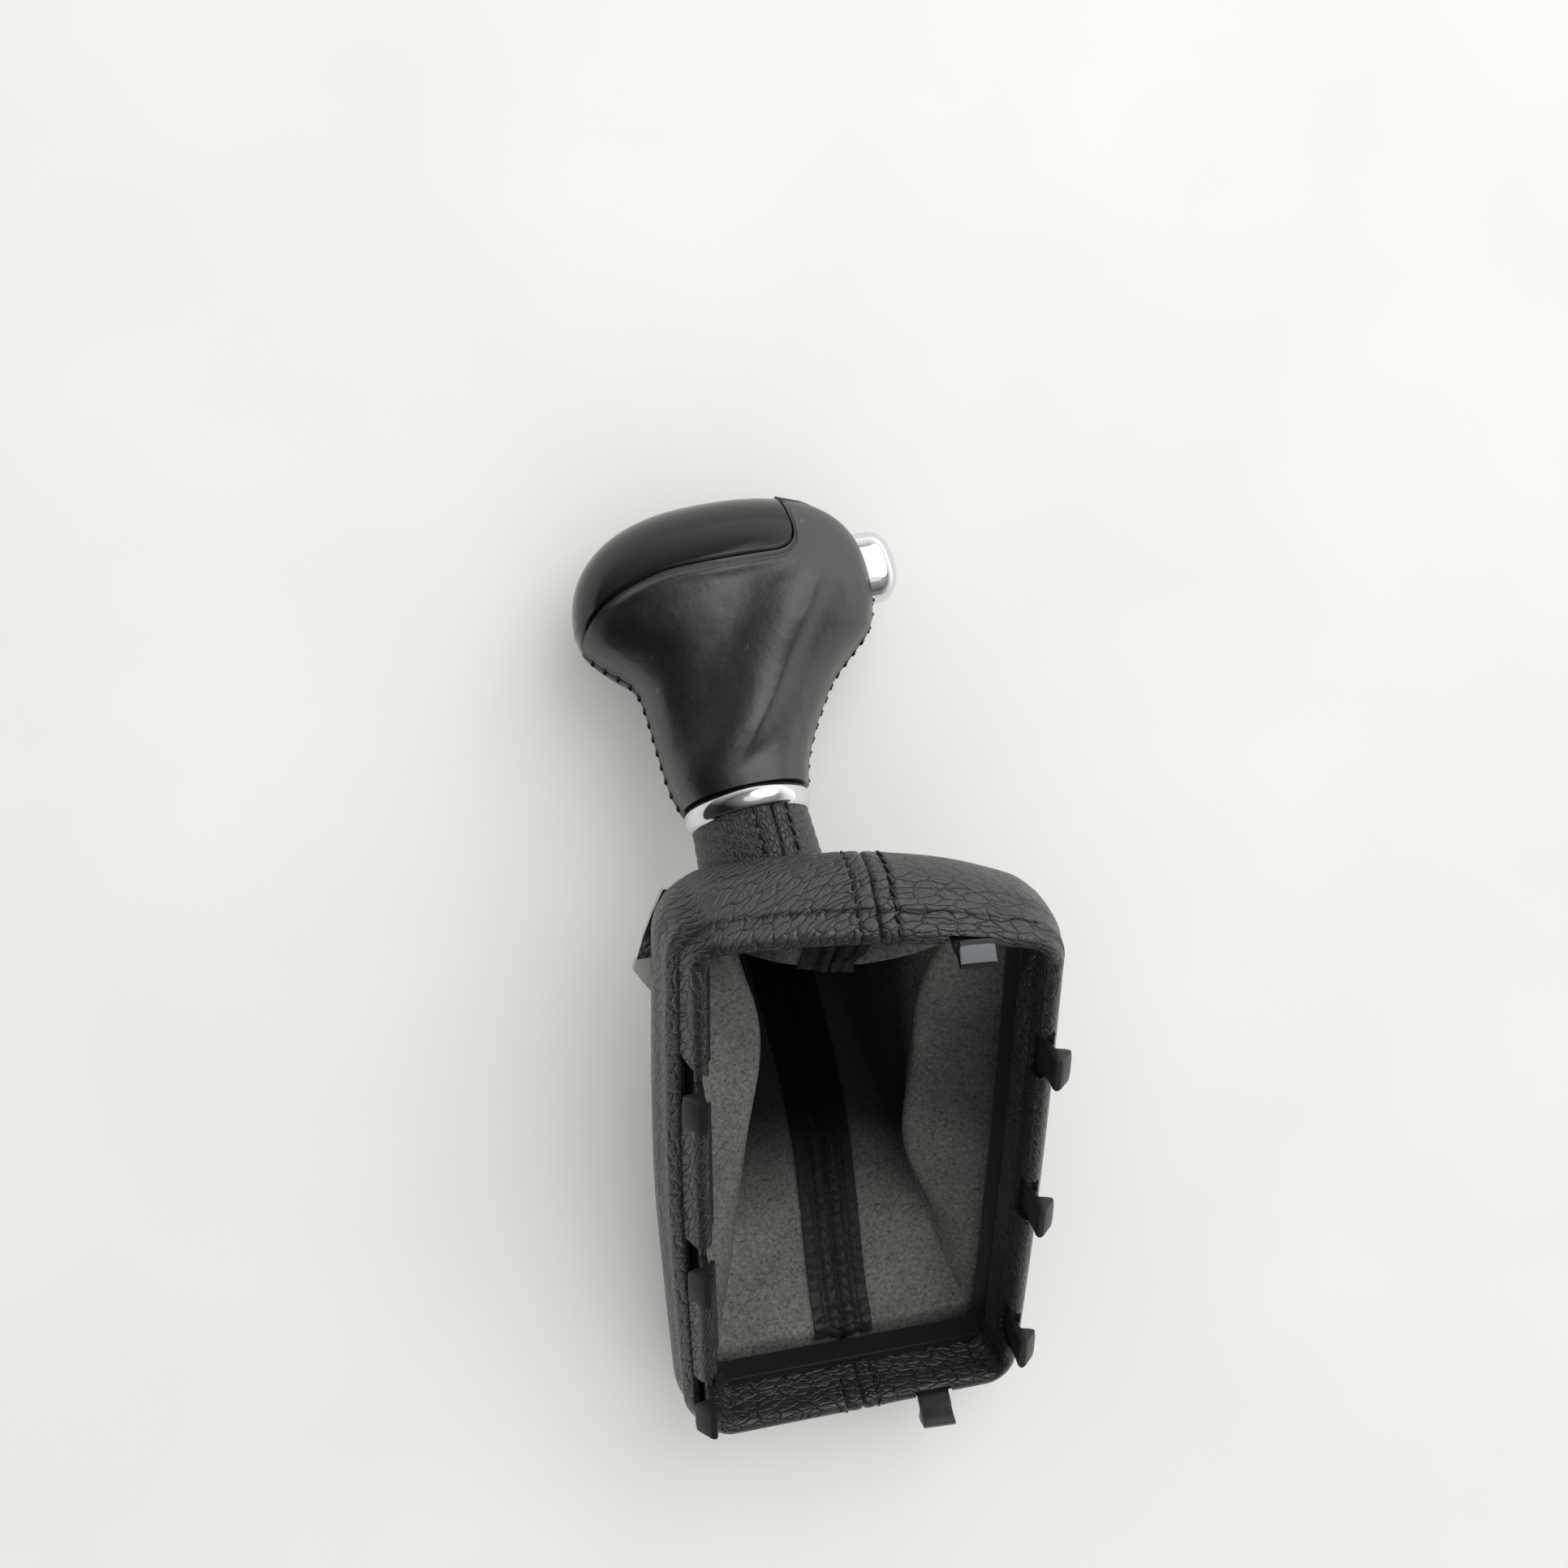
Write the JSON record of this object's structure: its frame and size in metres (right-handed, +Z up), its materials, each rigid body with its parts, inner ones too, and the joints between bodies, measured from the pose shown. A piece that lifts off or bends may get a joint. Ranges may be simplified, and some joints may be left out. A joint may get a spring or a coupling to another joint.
{
  "type": "gear shift knob with leather boot",
  "caption": "Leather gear shift knob with gloss black cap, chrome release button and ring, and a stitched leather boot on a plastic clip frame.",
  "frame": {"origin": "middle of the mouth of the lever socket, in the lower end of the knob's neck", "axes": "the part lies on its side as it does off the car: +Z is up from the surface it lies on, +Y runs along the part from the boot frame towards the head, +X is across it, towards the side of the release button"},
  "size_m": [0.1159, 0.2644, 0.0968],
  "materials": {
    "core_plastic": "moulded, satin",
    "sleeve_steel": "turned, zinc plated",
    "knob_leather": "smooth, lightly worn, stitched along both sides",
    "cap_gloss": "piano black",
    "screw_steel": "zinc plated",
    "chrome_trim": "mirror",
    "slide_plastic": "natural, slippery",
    "spring_steel": "bright wire",
    "frame_plastic": "moulded, fine grain, scuffed clips",
    "boot_leather": "pebbled outside, grey suede inside",
    "seam_tape": "sewn tape"
  },
  "bodies": {
    "knob": {"knob_core": "core_plastic", "lever_sleeve": "sleeve_steel", "knob_leather_front": "knob_leather", "knob_leather_rear": "knob_leather", "top_cap": "cap_gloss", "mechanism_cover": "core_plastic", "cover_screw_1": "screw_steel", "cover_screw_2": "screw_steel", "cover_screw_3": "screw_steel", "button_spring": "spring_steel", "chrome_ring": "chrome_trim", "boot_collar": "frame_plastic", "boot_panel_right": "boot_leather", "boot_panel_left": "boot_leather", "seam_tape_upper": "seam_tape", "seam_tape_lower": "seam_tape", "boot_frame": "frame_plastic"},
    "button": {"release_button": "chrome_trim", "button_slider": "slide_plastic"},
    "plunger": {"plunger": "slide_plastic"}
  },
  "joints": [
    {"name": "button_slide", "type": "slide", "parent": "knob", "child": "button", "axis": [-0.9914, -0.1305, 0], "range_m": [0, 0.006], "stiffness_N_per_m": 800, "springref_m": -0.002, "deforming": ["button_spring"]},
    {"name": "plunger_slide", "type": "slide", "parent": "knob", "child": "plunger", "axis": [0.1252, -0.9506, 0.284], "range_m": [0, 0.006]}
  ],
  "couplings": [
    {"joint": "plunger_slide", "follows": "button_slide", "ratio": 1}
  ]
}
